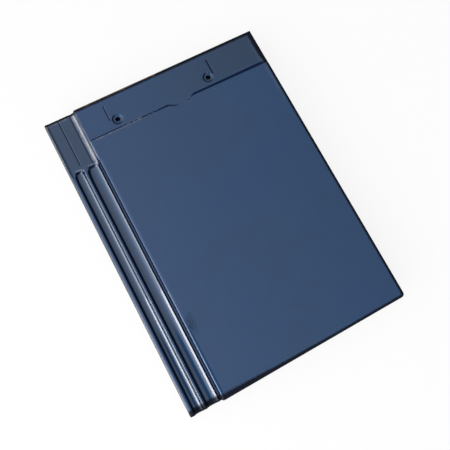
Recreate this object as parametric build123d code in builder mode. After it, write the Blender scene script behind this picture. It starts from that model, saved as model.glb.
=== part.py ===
"""Flat interlocking roof tile, pressed and fired in one piece.

Millimetres. X runs from the lock strip to the overlap edge, Y up the slope to the head,
Z up from the plane on which the tail nose and the hanging nibs stand.
"""

import math
import os

from build123d import *

# Overall plan
tile_width = 300.0
tile_length = 400.0

# Heights, from the floor up
foot_depth = 6.5  # nose and nibs below the bearing ribs
lock_base = 8.2  # clay left under the side channels
channel_depth = 3.3
lock_drop = 8.5  # weather face above the lock strip
plate_thickness = 12.0

# Lock strip, across the tile from its left edge
rim_width = 5.0
outer_channel_width = 12.0
rib_width = 4.6
inner_channel_width = 16.3
joint_width = 5.1
channel_start = 72.5  # from the head edge to the closed ends of the channels
channel_draft = 40.0  # degrees, lean of the steep outer sides and of the closed ends
channel_end_radius = 5.5
outer_lay_back = 5.4  # plan width of the laid-back inner side of each channel
inner_lay_back = 8.0
outer_crest_drop = 0.9  # crest of the outer channel below the lock strip
crease_width = 1.0  # steep side of the crease on the rib
crease_depth = 0.4  # below the crest beside it
crest_width = 1.8  # flat of the rib beside the inner channel
joint_depth = 10.0
joint_left_run = 1.6  # plan width of the joint groove's low side
joint_right_run = 1.8  # plan width of its high side, under the weather face

# Side of the plate above the channels
side_bite = 1.0  # joint groove into the plate
side_run = 1.9  # plan width of the steep side
slope_run = 5.2  # plan width of the slope at its foot
slope_rise = 2.6

# Head recess under the course above
recess_length = 46.7
recess_depth_left = 0.6
recess_depth_right = 3.1
recess_draft = 60.0  # degrees
outlet_width = 41.0
outlet_floor_width = 23.0
outlet_length = 5.2

# Nail holes and the setting-out marks beside them
nail_spacing = 131.0
nail_offset = 2.0  # middle of the two holes, right of the middle of the tile
nail_from_head = 36.0
nail_radius = 2.95
dish_radius = 6.5
dish_angle = 125.0  # degrees
mark_from_nail = 8.7
mark_from_head = 12.5
mark_length = 22.0
mark_width = 2.0
mark_depth = 0.8
mark_draft = 40.0  # degrees

# Overlap edge, made to lie over the lock strip of the next tile
lap_clearance = 1.0
lap_end_clearance = 4.0
lap_step_run = 3.0
lap_rib_from_tail = 8.0
lap_rib_draft = 29.0  # degrees

# Underside
underside_draft = 8.0  # degrees
nose_width = 14.0
strip_step_run = 4.0
nib_width = 30.0
nib_length = 14.0
nib_from_head = 5.0
bearing_rib_width = 12.0
bearing_rib_spacing = 60.0
bearing_rib_from_head = 30.0

# Rounded edges
corner_radius = 5.0
edge_radius = 4.0
head_radius = 3.0
rim_radius = 2.5
arris_radius = 1.5
floor_fillet = 1.2
joint_fillet = 0.6
lap_fillet = 1.0
foot_fillet = 1.5

overrun = 12.0  # how far the cutting shapes reach past an open edge
near = 0.02  # how closely an edge is picked by its place

# Levels and positions worked out from the sizes above
bearing_z = foot_depth
channel_z = bearing_z + lock_base
strip_z = channel_z + channel_depth
face_z = strip_z + lock_drop
plate_z = face_z - plate_thickness
joint_z = face_z - joint_depth
outer_crest_z = strip_z - outer_crest_drop
lap_z = strip_z + lap_clearance
lap_rib_z = channel_z + lap_clearance

left_x = -tile_width / 2
right_x = tile_width / 2
head_y = tile_length / 2
tail_y = -tile_length / 2
channel_y = head_y - channel_start
channel_length = tile_length - channel_start
outer_channel_x = left_x + rim_width
rib_x = outer_channel_x + outer_channel_width
inner_channel_x = rib_x + rib_width
rib_crest_x = inner_channel_x - crest_width
joint_x = inner_channel_x + inner_channel_width
joint_right_x = joint_x + joint_width
arris_x = joint_right_x - side_bite
side_foot_x = arris_x - side_run
slope_foot_x = side_foot_x - slope_run
channel_side_run = channel_depth * math.tan(math.radians(channel_draft))
channel_floors = [
    (outer_channel_x + channel_side_run, rib_x - outer_lay_back),
    (inner_channel_x + channel_side_run, joint_x - inner_lay_back),
]

lap_end_x = slope_foot_x + slope_run * lap_clearance / slope_rise - lap_clearance
cover_width = right_x - lap_end_x  # pitch of the tiles along one course
lap_x = left_x + cover_width - lap_clearance
nose_end_x = lap_x - lap_step_run
face_width = right_x - arris_x
face_middle_x = (right_x + arris_x) / 2
recess_fall = recess_depth_right - recess_depth_left
recess_depth_middle = (recess_depth_left + recess_depth_right) / 2
nail_y = head_y - nail_from_head
nail_xs = [nail_offset - nail_spacing / 2, nail_offset + nail_spacing / 2]
mark_xs = [nail_xs[0] - mark_from_nail, nail_xs[1] + mark_from_nail]


def recess_floor(x):
    """Height of the head recess at a place across the tile."""
    return face_z - recess_depth_left - recess_fall * (x - arris_x) / face_width


with BuildPart() as tile:
    # Plate, lock strip and thin overlap edge in one section
    with BuildSketch(Plane.XZ):
        with BuildLine():
            Polyline(
                (left_x, bearing_z),
                (arris_x, bearing_z),
                (arris_x + strip_step_run, plate_z),
                (nose_end_x, plate_z),
                (lap_x, lap_z),
                (right_x, lap_z),
                (right_x, face_z),
                (arris_x, face_z),
                (side_foot_x, strip_z + slope_rise),
                (slope_foot_x, strip_z),
                (left_x, strip_z),
                close=True,
            )
        make_face()
    extrude(amount=tile_length / 2, both=True)

    # Tail nose under the strip and the plate
    with BuildSketch(Plane.XY):
        with Locations((left_x, tail_y)):
            Rectangle(nose_end_x - left_x, nose_width, align=(Align.MIN, Align.MIN))
    extrude(amount=plate_z)

    # Tail corner in plan, then the tail and right edges of the weather face, and the edges of the strip
    corner = tile.edges().filter_by(Axis.Z).group_by(Axis.X)[-1].sort_by(Axis.Y)[0]
    fillet(corner, radius=corner_radius)
    face = tile.faces().sort_by(Axis.Z)[-1]
    fillet(face.edges().sort_by(Axis.Y)[:-1].sort_by(Axis.X)[1:], radius=edge_radius)
    strip = tile.faces().filter_by_position(Axis.Z, strip_z - near, strip_z + near)
    fillet(strip.sort_by(Axis.X)[0].edges().sort_by(Axis.X)[:-1], radius=rim_radius)

    # Head recess with its floor falling to the right
    recess_plane = Plane(
        origin=(arris_x, head_y, face_z - recess_depth_left),
        x_dir=(face_width, 0, -recess_fall),
        z_dir=(recess_fall, 0, face_width),
    )
    with BuildSketch(recess_plane):
        with Locations((-overrun, -recess_length)):
            Rectangle(
                face_width + 2 * overrun,
                recess_length + overrun,
                align=(Align.MIN, Align.MIN),
            )
    extrude(amount=overrun, taper=-recess_draft, mode=Mode.SUBTRACT)
    recess_head = tile.edges().filter_by_position(Axis.Y, head_y - near, head_y + near)
    fillet(recess_head.group_by(Axis.Z)[-1].sort_by(SortBy.LENGTH)[-1], radius=head_radius)

    # Outlet ramp from the recess up to the face
    outlet_plane = Plane(
        origin=(face_middle_x, head_y - recess_length, face_z - recess_depth_middle),
        x_dir=(1, 0, 0),
        z_dir=(0, recess_depth_middle, outlet_length),
    )
    with BuildSketch(outlet_plane):
        with BuildLine():
            Polyline(
                (-outlet_width / 2, 0),
                (outlet_width / 2, 0),
                (outlet_floor_width / 2, -outlet_length),
                (-outlet_floor_width / 2, -outlet_length),
                close=True,
            )
        make_face()
    extrude(amount=recess_depth_right, taper=-recess_draft, mode=Mode.SUBTRACT)

    # Side channels: drafted slots with rounded head ends, bounded by their laid-back inner sides
    with BuildPart(mode=Mode.SUBTRACT) as channels:
        with BuildSketch(Plane.XY.offset(strip_z)) as slots:
            with Locations((outer_channel_x, channel_y)):
                Rectangle(
                    rib_crest_x - outer_channel_x + crest_width / 2,
                    channel_length + overrun,
                    align=(Align.MIN, Align.MAX),
                )
            with Locations((inner_channel_x, channel_y)):
                Rectangle(
                    inner_channel_width + joint_left_run / 2,
                    channel_length + overrun,
                    align=(Align.MIN, Align.MAX),
                )
            fillet(slots.vertices().group_by(Axis.Y)[-1], radius=channel_end_radius)
        extrude(amount=-channel_depth, taper=channel_draft)
        fillet(channels.edges().group_by(Axis.Z)[0], radius=floor_fillet)
        extrude(slots.sketch, amount=lock_drop)
        with BuildSketch(Plane.XZ):
            with BuildLine():
                Line((outer_channel_x, channel_z), (rib_x - outer_lay_back, channel_z))
                TangentArc((rib_x - outer_lay_back, channel_z), (rib_x, outer_crest_z), tangent=(1, 0))
                Polyline(
                    (rib_x, outer_crest_z),
                    (rib_x + crease_width, outer_crest_z - crease_depth),
                    (rib_crest_x, strip_z),
                    (rib_crest_x, face_z),
                    (outer_channel_x, face_z),
                    (outer_channel_x, channel_z),
                )
            make_face()
            with BuildLine():
                Line((inner_channel_x, channel_z), (joint_x - inner_lay_back, channel_z))
                TangentArc((joint_x - inner_lay_back, channel_z), (joint_x, strip_z), tangent=(1, 0))
                Polyline(
                    (joint_x, strip_z),
                    (joint_x, face_z),
                    (inner_channel_x, face_z),
                    (inner_channel_x, channel_z),
                )
            make_face()
        extrude(amount=tile_length, both=True, mode=Mode.INTERSECT)

    # Crease along the middle rib, above the channels
    with BuildSketch(Plane.XZ):
        with BuildLine():
            Polyline(
                (rib_x, strip_z),
                (rib_x + crease_width, strip_z - crease_depth),
                (rib_x + 2 * crease_width, strip_z),
                close=True,
            )
        make_face()
    extrude(amount=tile_length, both=True, mode=Mode.SUBTRACT)

    # Joint groove between the inner channel and the plate, with the arris above it eased
    with BuildSketch(Plane.XZ.offset(-channel_y)):
        with BuildLine():
            Polyline(
                (joint_x, strip_z),
                (joint_x + joint_left_run, joint_z),
                (joint_right_x - joint_right_run, joint_z),
                (joint_right_x, face_z),
                (joint_x, face_z),
                close=True,
            )
        make_face()
    extrude(amount=channel_length + overrun, mode=Mode.SUBTRACT)
    along = tile.edges().filter_by(Axis.Y)
    groove = along.filter_by_position(Axis.X, joint_x + near, joint_right_x - near)
    fillet(groove.filter_by_position(Axis.Z, joint_z - near, joint_z + near), radius=joint_fillet)
    arris = along.filter_by_position(Axis.X, joint_right_x - near, joint_right_x + near)
    fillet(arris.filter_by_position(Axis.Z, face_z - near, face_z + near), radius=arris_radius)

    # Nail holes in shallow dishes, and the setting-out marks
    with Locations(*[(x, nail_y, recess_floor(x)) for x in nail_xs]):
        CounterSinkHole(nail_radius, dish_radius, counter_sink_angle=dish_angle)
    with BuildSketch(recess_plane):
        with Locations(*[(x - arris_x, -mark_from_head - mark_length / 2) for x in mark_xs]):
            SlotOverall(mark_length, mark_width, rotation=90)
    extrude(amount=-mark_depth, taper=mark_draft, mode=Mode.SUBTRACT)

    # Bearing ribs and hanging nibs
    with BuildSketch(Plane.XY.offset(plate_z)):
        with Locations((face_middle_x, head_y - bearing_rib_from_head)):
            with GridLocations(bearing_rib_spacing, 0, 2, 1):
                Rectangle(
                    bearing_rib_width,
                    tile_length - bearing_rib_from_head - nose_width / 2,
                    align=(Align.CENTER, Align.MAX),
                )
    extrude(amount=bearing_z - plate_z, taper=underside_draft)
    with BuildSketch(Plane.XY.offset(plate_z)):
        with Locations(*[(x, head_y - nib_from_head) for x in nail_xs]):
            Rectangle(nib_width, nib_length, align=(Align.CENTER, Align.MAX))
    extrude(amount=-plate_z, taper=underside_draft)
    feet = tile.edges().filter_by(Plane.XY).group_by(Axis.Z)[0]
    fillet(feet, radius=foot_fillet)

    # Ribs of the overlap edge, as wide at the tip as the flat floors of the next tile's channels
    with BuildSketch(Plane.XY.offset(lap_rib_z)):
        for start_x, end_x in channel_floors:
            with Locations((start_x + cover_width, channel_y - lap_end_clearance)):
                Rectangle(
                    end_x - start_x,
                    channel_length - lap_end_clearance - lap_rib_from_tail,
                    align=(Align.MIN, Align.MAX),
                )
    extrude(amount=lap_z - lap_rib_z, taper=-lap_rib_draft)
    level = tile.edges().filter_by(Plane.XY).filter_by_position(Axis.X, lap_x, right_x)
    fillet(level.filter_by_position(Axis.Z, lap_rib_z - near, lap_rib_z + near), radius=lap_fillet)

tile.part.label = "roof_tile"
os.makedirs("parts", exist_ok=True)
export_step(tile.part, "parts/roof_tile.step")
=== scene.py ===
"""Flat interlocking roof tile in glazed clay, on a plain studio floor.

The tile is one closed surface. The weather face and the underside are height functions on one
grid of columns and rows; walls join them round the outline and through the nail holes.
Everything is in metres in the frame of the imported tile: X runs from the lock strip to the
overlap edge, Y up the slope to the head, Z up.
"""

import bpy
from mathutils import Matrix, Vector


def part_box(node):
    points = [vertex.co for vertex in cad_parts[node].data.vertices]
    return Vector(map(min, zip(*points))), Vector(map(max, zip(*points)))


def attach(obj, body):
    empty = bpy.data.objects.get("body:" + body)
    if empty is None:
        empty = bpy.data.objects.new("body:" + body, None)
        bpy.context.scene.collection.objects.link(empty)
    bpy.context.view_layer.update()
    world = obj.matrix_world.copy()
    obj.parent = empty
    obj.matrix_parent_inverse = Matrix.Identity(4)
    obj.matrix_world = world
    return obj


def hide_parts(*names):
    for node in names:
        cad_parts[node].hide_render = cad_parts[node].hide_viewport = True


bl_info = {
    "name": "Flat roof tile",
    "version": (1, 0, 0),
    "blender": (4, 5, 0),
    "location": "3D View > Sidebar > Roof tile",
    "description": "Makes a glazed flat roof tile on its packed frame, and a plain studio for it",
    "category": "Object",
}

import math
from types import SimpleNamespace

import bpy
import numpy as np
from bpy.props import FloatProperty, FloatVectorProperty, PointerProperty
from mathutils import Matrix, Vector

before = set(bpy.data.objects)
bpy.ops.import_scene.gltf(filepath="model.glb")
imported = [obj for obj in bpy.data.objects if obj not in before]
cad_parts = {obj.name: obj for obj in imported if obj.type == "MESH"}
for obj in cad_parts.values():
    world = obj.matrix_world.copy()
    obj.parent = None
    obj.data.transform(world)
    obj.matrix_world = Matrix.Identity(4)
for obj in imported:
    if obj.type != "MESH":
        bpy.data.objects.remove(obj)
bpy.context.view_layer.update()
tile_low, tile_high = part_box("roof_tile")

MM = 0.001


def length(name, millimetres, text):
    """A settable length, written in millimetres and held in metres."""
    return FloatProperty(
        name=name, description=text, default=millimetres * MM, min=0.0, unit="LENGTH", precision=5
    )


def angle(name, degrees, text):
    """A settable angle, written in degrees and held in radians."""
    return FloatProperty(
        name=name, description=text, default=math.radians(degrees), subtype="ANGLE"
    )


def reach(name, millimetres, text):
    """A settable pair of distances, written in millimetres and held in metres."""
    return FloatVectorProperty(
        name=name, description=text, default=[value * MM for value in millimetres], size=2,
        unit="LENGTH", precision=5,
    )


def span(name, pair, text):
    """A settable pair of numbers without a unit, mostly where a change starts and where it ends."""
    return FloatVectorProperty(name=name, description=text, default=pair, size=2)


def share(name, value, text):
    """A settable share or strength without a unit."""
    return FloatProperty(name=name, description=text, default=value, min=0.0)


def colour(name, rgb, text):
    """A settable linear colour."""
    return FloatVectorProperty(
        name=name, description=text, default=rgb, size=3, subtype="COLOR", min=0.0, max=1.0
    )


class TileSizes(bpy.types.PropertyGroup):
    """Sizes of the pressed tile."""

    width: length("Width", (tile_high.x - tile_low.x) / MM, "Across the tile, from the packed frame")
    length: length("Length", (tile_high.y - tile_low.y) / MM, "Up the slope, from the packed frame")
    height: length("Height", (tile_high.z - tile_low.z) / MM, "Feet to face, from the packed frame")
    lock_base: length("Lock base", 8.2, "Clay under the side channels")
    channel_depth: length("Channel depth", 3.3, "Side channels below the lock strip")
    lock_drop: length("Lock drop", 8.5, "Weather face above the lock strip")
    plate_thickness: length("Plate thickness", 12.0, "Clay under the weather face")
    rim_width: length("Rim width", 5.0, "Outer rim of the lock strip")
    outer_channel_width: length("Outer channel width", 12.0, "Outer channel, from the rim to its crest")
    rib_width: length("Rib width", 4.6, "Rib between the two channels")
    inner_channel_width: length("Inner channel width", 16.3, "Inner channel, from the rib to its crest")
    channel_start: length("Channel start", 72.5, "Head edge to the closed ends of the channels")
    channel_end_radius: length("Channel end radius", 5.5, "Plan rounding of the closed ends")
    channel_end_run: length("Channel end run", 3.8, "Plan length of the closed ends' sloping wall")
    channel_side_run: length("Channel side run", 9.0, "Plan length of the closed ends at the steep sides")
    channel_end_skew: length("Channel end skew", 3.5, "Closed ends start later at the steep sides")
    channel_wall: length("Channel wall", 3.5, "Plan width of a channel's steep outer side")
    channel_draft: angle("Channel draft", 40.0, "Mean lean of a channel's steep outer side")
    outer_lay_back: length("Outer lay-back", 5.4, "Plan width of the outer channel's laid-back side")
    inner_lay_back: length("Inner lay-back", 8.0, "Plan width of the inner channel's laid-back side")
    outer_crest_drop: length("Outer crest drop", 0.9, "Crest of the outer channel below the lock strip")
    crease_slope: share("Crease slope", 0.72, "Slope of the crease's steep side")
    outer_turn: share("Outer turn", 0.67, "Share of the outer lay-back that steepens up to its crest")
    inner_turn: share("Inner turn", 0.75, "Share of the inner lay-back that steepens up to its crest")
    crease_fade: reach("Crease fade", (3.0, 6.0), "Where the crease starts above the channel ends")
    joint_end_radius: length("Joint end radius", 2.04, "Plan rounding of the joint groove's closed end")
    joint_width: length("Joint width", 5.1, "Joint groove at the level of the face")
    joint_depth: length("Joint depth", 10.0, "Joint groove below the face")
    side_bite: length("Side bite", 1.0, "Joint groove into the plate")
    side_run: length("Side run", 1.9, "Plan width of the plate's steep side above the channels")
    slope_run: length("Slope run", 5.2, "Plan width of the slope at the foot of that side")
    slope_rise: length("Slope rise", 2.6, "Rise of that slope")
    recess_length: length("Recess length", 46.7, "Head recess up the slope")
    recess_depth_left: length("Recess depth left", 0.6, "Head recess at the lock strip")
    recess_depth_right: length("Recess depth right", 3.1, "Head recess at the overlap edge")
    recess_draft: angle("Recess draft", 63.0, "Lean of the step below the head recess")
    step_blend: length("Step blend", 0.5, "Softening of the step and of the outlet's foot")
    outlet_blend: length("Outlet blend", 0.4, "Softening of the outlet's upper edge")
    outlet_width: length("Outlet width", 41.0, "Outlet at the step")
    outlet_floor_width: length("Outlet floor width", 23.0, "Outlet at its lower end")
    outlet_length: length("Outlet length", 5.2, "Outlet down the slope")
    outlet_draft: angle("Outlet draft", 45.0, "Lean of the sides of the outlet")
    outlet_ramp: length("Outlet ramp", 9.5, "Length over which the outlet rises to the face")
    nail_spacing: length("Nail spacing", 131.0, "Between the two nail holes")
    nail_offset: length("Nail offset", 2.0, "Middle of the holes right of the tile's middle")
    nail_from_head: length("Nail from head", 36.0, "Holes from the head edge")
    nail_radius: length("Nail radius", 2.95, "Radius of a nail hole")
    dish_radius: length("Dish radius", 7.0, "Radius of the dish round a nail hole")
    dish_wall: length("Dish wall", 1.7, "Plan width of the side of a dish")
    dish_depth: length("Dish depth", 1.2, "Depth of a dish")
    dish_floor_blend: length("Dish floor blend", 0.4, "Softening of the foot of a dish's side")
    dish_blend: length("Dish blend", 0.3, "Softening of the upper edge of a dish")
    mark_from_nail: length("Mark from nail", 8.7, "Setting-out mark beside each hole")
    mark_from_head: length("Mark from head", 12.5, "Setting-out mark from the head edge")
    mark_length: length("Mark length", 22.0, "Length of a setting-out mark")
    mark_width: length("Mark width", 2.8, "Width of a setting-out mark")
    mark_depth: length("Mark depth", 0.8, "Depth of a setting-out mark")
    lap_clearance: length("Lap clearance", 1.0, "Room between the laps of two tiles")
    lap_end_clearance: length("Lap end clearance", 4.0, "Room at the closed ends of the channels")
    lap_step_run: length("Lap step run", 3.0, "Plan width of the step up to the overlap edge")
    lap_rib_from_tail: length("Lap rib from tail", 8.0, "Overlap ribs from the tail edge")
    lap_rib_draft: angle("Lap rib draft", 29.0, "Lean of the sides of the overlap ribs")
    underside_draft: angle("Underside draft", 8.0, "Lean of the sides of the ribs and nibs")
    nose_width: length("Nose width", 14.0, "Tail nose up the slope")
    nose_wall: length("Nose wall", 0.5, "Plan width of the nose's inner sides")
    strip_step_run: length("Strip step run", 4.0, "Plan width of the step beside the lock strip")
    nib_width: length("Nib width", 30.0, "Hanging nib across the tile")
    nib_length: length("Nib length", 14.0, "Hanging nib up the slope")
    nib_from_head: length("Nib from head", 5.0, "Hanging nib from the head edge")
    bearing_rib_width: length("Bearing rib width", 12.0, "Bearing rib across the tile")
    bearing_rib_spacing: length("Bearing rib spacing", 60.0, "Between the two bearing ribs")
    bearing_rib_from_head: length("Bearing rib from head", 30.0, "Bearing ribs from the head edge")
    corner_radius: length("Corner radius", 5.0, "Plan rounding of the tail corner at the overlap")
    small_corner_radius: length("Small corner radius", 1.6, "Plan rounding of the other corners")
    edge_radius: length("Edge radius", 3.6, "Rounding of the weather face")
    edge_blend: length("Edge blend", 4.0, "Length over which one rounding goes over to the next")
    recess_blend: length("Recess blend", 6.0, "Length over which the recess's right edge sharpens")
    recess_radius: length("Recess radius", 0.5, "Rounding of the recess's right edge")
    rim_radius: length("Rim radius", 1.4, "Rounding of the lock strip's outer edge")
    rim_run: length("Rim run", 16.0, "Length over which the rim starts to lean")
    rim_lean: length("Rim lean", 1.5, "Fall of the rim to its outer edge beside the channels")
    tail_radius: length("Tail radius", 3.6, "Rounding of the lock strip's tail edge")
    foot_radius: length("Foot radius", 1.4, "Rounding of the underside's outer edge")
    lap_edge_radius: length("Lap edge radius", 0.56, "Rounding under the overlap edge")
    arris_slope: share("Arris slope", 0.70, "Slope at the start of the arris beside the joint groove")


# Dark and pale glaze of the tile: the dark is partly painted shade, and the pale lines are painted highlights
class TileWearAndLight(bpy.types.PropertyGroup):
    """Where the glaze of the tile is dark, pale, dull, specked or gone."""

    # Dark glaze on steep slopes: glaze run thin on steep sides, and painted shade that starts later on slopes
    # facing the lights
    dark_start: angle("Dark start", 13.0, "Slope at which the glaze starts to darken")
    dark_range: angle("Dark range", 15.0, "Further slope over which it darkens")
    lit_side_delay: angle("Dark delay", 34.0, "Later start on slopes that face the lock strip's side")
    lit_side_way: span("Late side", (0.94, 0.34), "Plan direction in which such slopes rise")
    # Near the channel ends: the dark oval on the end wall is painted shade, and the pale crescent round it a
    # painted highlight
    end_clear: reach("End clear", (-6.5, -4.0), "From the channel ends, where their sides stop being dark")
    end_clear_from: FloatProperty(
        name="End clear from", description="Start of that stretch, as a share of a channel's width",
        default=-0.15,
    )
    end_clear_cover: share("End clear cover", 0.95, "Share of the dark that is gone there")
    oval_place: share("Oval place", 0.60, "Middle of the dark oval, as a share of a channel's width")
    oval_half: share("Oval half", 0.33, "Half of its width, as a share of a channel's width")
    oval_drop: length("Oval drop", 2.6, "Middle of the oval below a channel's end")
    oval_rise: length("Oval rise", 1.7, "Half of the oval's length")
    oval_edge: span("Oval edge", (0.75, 1.20), "Soft edge of the oval, as shares of its half sizes")
    crescent_in: span("Crescent inside", (1.05, 1.30), "Inner edge of the pale crescent, as such shares")
    crescent_out: span("Crescent outside", (1.55, 2.00), "Outer edge of the crescent, as such shares")
    crescent_side: span("Crescent side", (0.2, 0.9), "How far up and right of the oval it starts")
    crescent_cover: share("Crescent cover", 2.4, "Strength of the crescent, before its streaks")
    mark_cover: span("Mark cover", (0.60, 1.0), "Darkness of the left and the right setting-out mark")
    mark_edge: length("Mark edge", 0.5, "Soft edge of a mark's dark line")
    mark_clear: length("Mark clear", 0.6, "Room round a mark without other dark glaze")
    # Painted shade: dark lines below the left part of the step and on the slants of the outlet
    step_shade: share("Step dark", 0.9, "Darkness of the line under the left part of the step")
    step_shade_up: reach("Step dark start", (-0.4, 0.1), "Upper edge of that line, below the step")
    step_shade_down: reach("Step dark end", (1.0, 1.6), "Lower edge of that line, below the step")
    step_shade_fade: length("Step dark fade", 2.0, "Length over which that line starts at the strip")
    slant_shade: share("Slant dark", 0.95, "Darkness of the slants of the outlet")
    slant_edge: reach("Slant edge", (0.5, 1.2), "Soft edge of a slant's line")
    slant_start: reach("Slant start", (-0.3, 0.3), "Where the slants start below the step")
    slant_ends: reach("Slant ends", (4.6, 3.2), "Where the left and the right slant end below the step")
    slant_fade: length("Slant fade", 0.8, "Length over which a slant's line ends")
    dish_clear: reach("Dish clear", (1.5, 2.5), "Beside a hole, where the dark side of its dish starts")
    # Painted shade: the dark rounded edges of the face
    right_edge: length("Right edge", 8.0, "Width of the dark right edge")
    recess_edge: length("Recess edge", 4.0, "Further width of the right edge beside the recess")
    recess_edge_fade: reach("Recess edge fade", (-8.0, 12.0), "From the step, where it widens")
    strip_head_edge: length("Strip head edge", 5.5, "Width of the dark head edge of the strip")
    plate_head_edge: length("Plate head edge", 4.0, "Further width of the head edge of the plate")
    left_edge: length("Left edge", 2.0, "Width of the dark left edge")
    left_cover: share("Left cover", 0.7, "Darkness of the left edge")
    head_bare: span("Head bare", (0.50, 0.72), "Where the clay stops showing along the head, of the width")
    tail_bare: span("Tail bare", (0.70, 0.80), "Where the clay starts to show along the tail, of the width")
    tail_bare_cover: share("Tail bare cover", 0.7, "Share of the clay that shows along the tail")
    hole_margin: length("Hole margin", 0.05, "Room by which a point still counts as in a hole")
    above_fade: reach("Above fade", (1.0, 6.0), "Where the worn zone starts above the channel ends")
    strip_lapped: share("Strip lapped", 0.4, "Thinness of the glaze beside the channels")
    recess_lapped: reach("Recess lapped", (0.0, 4.0), "Where the thin glaze starts above the step")
    recess_right: span("Recess right", (0.35, 0.95), "Where it grows to the right, of the width")
    # Painted highlights: the pale lip of the rim, pale lines below the strip's head and the step and beside
    # the right edge, and a pale spot at the outlet
    lip_edge: reach("Lip edge", (1.6, 3.0), "Soft edge of the worn lip of the rim")
    lip_cover: span("Lip cover", (0.20, 0.55), "Wear of the lip beside and above the channels")
    head_line_up: reach("Head line start", (2.6, 3.8), "Upper edge of the pale line below the strip's head")
    head_line_down: reach("Head line end", (4.6, 5.8), "Lower edge of that line")
    head_line_cover: share("Head line cover", 0.6, "Wear of that line")
    step_line_up: reach("Step line start", (1.6, 2.2), "Upper edge of the pale line below the step")
    step_line_down: reach("Step line end", (2.8, 3.6), "Lower edge of that line")
    step_line_from: span("Step line from", (0.15, 0.17), "Where that line starts, of the width")
    step_line_to: span("Step line to", (0.33, 0.43), "Where that line ends, of the width")
    step_line_cover: share("Step line cover", 0.8, "Wear of that line")
    edge_line_out: reach("Edge line outside", (4.0, 6.0), "Outer edge of the pale line at the right")
    edge_line_in: reach("Edge line inside", (7.0, 10.0), "Inner edge of that line")
    edge_line_from: reach("Edge line from", (-75.0, -35.0), "From the step, where that line starts")
    edge_line_to: length("Edge line to", 8.0, "Where that line ends below the head")
    edge_line_cover: share("Edge line cover", 0.22, "Wear of that line")
    spot_off: reach("Spot off", (0.6, 0.3), "Pale spot right of and above the outlet's lower right corner")
    spot_radius: length("Spot radius", 1.4, "Radius of that spot")
    spot_cover: share("Spot cover", 2.0, "Strength of that spot, before its streaks")
    # Breaks in the painted shade line below the step
    broken_from: reach("Broken from", (4.0, 10.0), "Right of the left nail, where the step's line breaks")
    broken_to: reach("Broken to", (9.0, 17.0), "Left of the outlet, where it is whole again")
    broken_rows: reach("Broken rows", (-0.6, 3.0), "From the step down, what the breaks take in")
    specks_place: reach("Specks place", (50.0, 305.0), "Dark specks from the left and the head edge")
    specks_half: reach("Specks half", (4.0, 14.0), "Half sizes of the specked patch")
    specks_edge: span("Specks edge", (0.25, 1.25), "Soft edge of the patch, as shares of its half sizes")
    specks_cover: share("Specks cover", 1.6, "Strength of the specks")


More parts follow.
